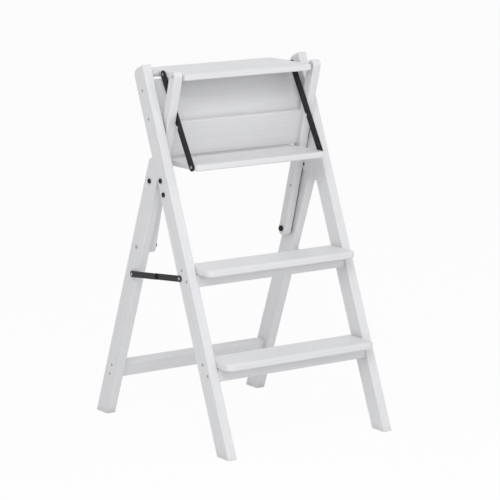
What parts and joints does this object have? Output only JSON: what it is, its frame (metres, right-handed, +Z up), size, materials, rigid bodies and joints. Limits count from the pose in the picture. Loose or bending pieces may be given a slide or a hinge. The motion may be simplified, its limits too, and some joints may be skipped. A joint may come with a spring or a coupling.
{
  "type": "folding step stool chair",
  "caption": "Painted wooden folding step ladder with fixed lower treads, linked upper boards on inner props, and rear legs that fold in against the front stiles.",
  "frame": {"origin": "on the floor, at the centre of the footprint", "axes": "+X to the right, +Y to the back, +Z up; a person climbs from -Y"},
  "size_m": [0.4884, 0.596, 0.89],
  "materials": {
    "white_paint": "satin white paint",
    "black_steel": "satin black",
    "white_steel": "satin white",
    "zinc_steel": "brushed zinc"
  },
  "bodies": {
    "front_frame": {"right_stile": "white_paint", "left_stile": "white_paint", "back_panel": "white_paint", "upper_tread": "white_paint", "upper_apron": "white_paint", "lower_tread": "white_paint", "lower_apron": "white_paint", "right_hinge_plate": "white_steel", "left_hinge_plate": "white_steel", "hinge_plate_bolts": "black_steel", "leg_pivot_bolts": "black_steel", "top_board_pins": "zinc_steel", "stay_front_rivets": "zinc_steel"},
    "rear_legs": {"right_rear_leg": "white_paint", "left_rear_leg": "white_paint", "rear_rail": "white_paint", "prop_bolts": "black_steel", "prop_nuts": "black_steel", "stay_rear_rivets": "zinc_steel"},
    "props": {"right_prop": "white_paint", "left_prop": "white_paint", "cross_board": "white_paint", "prop_head_pins": "zinc_steel", "third_board_pins": "zinc_steel"},
    "top_board": {"top_board": "white_paint", "strap_head_rivets": "zinc_steel"},
    "third_board": {"third_board": "white_paint"},
    "straps": {"right_strap": "black_steel", "left_strap": "black_steel", "strap_foot_rivets": "zinc_steel"},
    "stay_front_links": {"right_stay_front_link": "black_steel", "left_stay_front_link": "black_steel"},
    "stay_rear_links": {"right_stay_rear_link": "black_steel", "left_stay_rear_link": "black_steel", "stay_middle_rivets": "zinc_steel"}
  },
  "joints": [
    {"name": "leg_fold", "type": "hinge", "parent": "front_frame", "child": "rear_legs", "pos_m": [0, 0.03161, 0.61497], "axis": [-1, 0, 0], "range_deg": [0, 43.35]},
    {"name": "prop_swing", "type": "hinge", "parent": "rear_legs", "child": "props", "pos_m": [0, 0.09534, 0.446], "axis": [-1, 0, 0], "range_deg": [-25.45, 0]},
    {"name": "top_board_tilt", "type": "hinge", "parent": "front_frame", "child": "top_board", "pos_m": [0, 0.07166, 0.8645], "axis": [-1, 0, 0], "range_deg": [0, 11.75]},
    {"name": "third_board_tilt", "type": "hinge", "parent": "props", "child": "third_board", "pos_m": [0, 0.0323, 0.6565], "axis": [-1, 0, 0], "range_deg": [0, 4.34]},
    {"name": "strap_swing", "type": "hinge", "parent": "top_board", "child": "straps", "pos_m": [0, 0.04496, 0.8645], "axis": [-1, 0, 0], "range_deg": [0, 6.2]},
    {"name": "stay_front_swing", "type": "hinge", "parent": "front_frame", "child": "stay_front_links", "pos_m": [0, -0.09794, 0.3989], "axis": [-1, 0, 0], "range_deg": [0, 102.83]},
    {"name": "stay_rear_swing", "type": "hinge", "parent": "rear_legs", "child": "stay_rear_links", "pos_m": [0, 0.11217, 0.377], "axis": [-1, 0, 0], "range_deg": [-105.36, 0]}
  ],
  "couplings": [
    {"joint": "prop_swing", "follows": "leg_fold", "ratio": -0.58588},
    {"joint": "top_board_tilt", "follows": "leg_fold", "ratio": 0.26997},
    {"joint": "third_board_tilt", "follows": "leg_fold", "ratio": 0.09895},
    {"joint": "strap_swing", "follows": "leg_fold", "ratio": 0.14179},
    {"joint": "stay_front_swing", "follows": "leg_fold", "ratio": 2.371},
    {"joint": "stay_rear_swing", "follows": "leg_fold", "ratio": -2.4293}
  ]
}
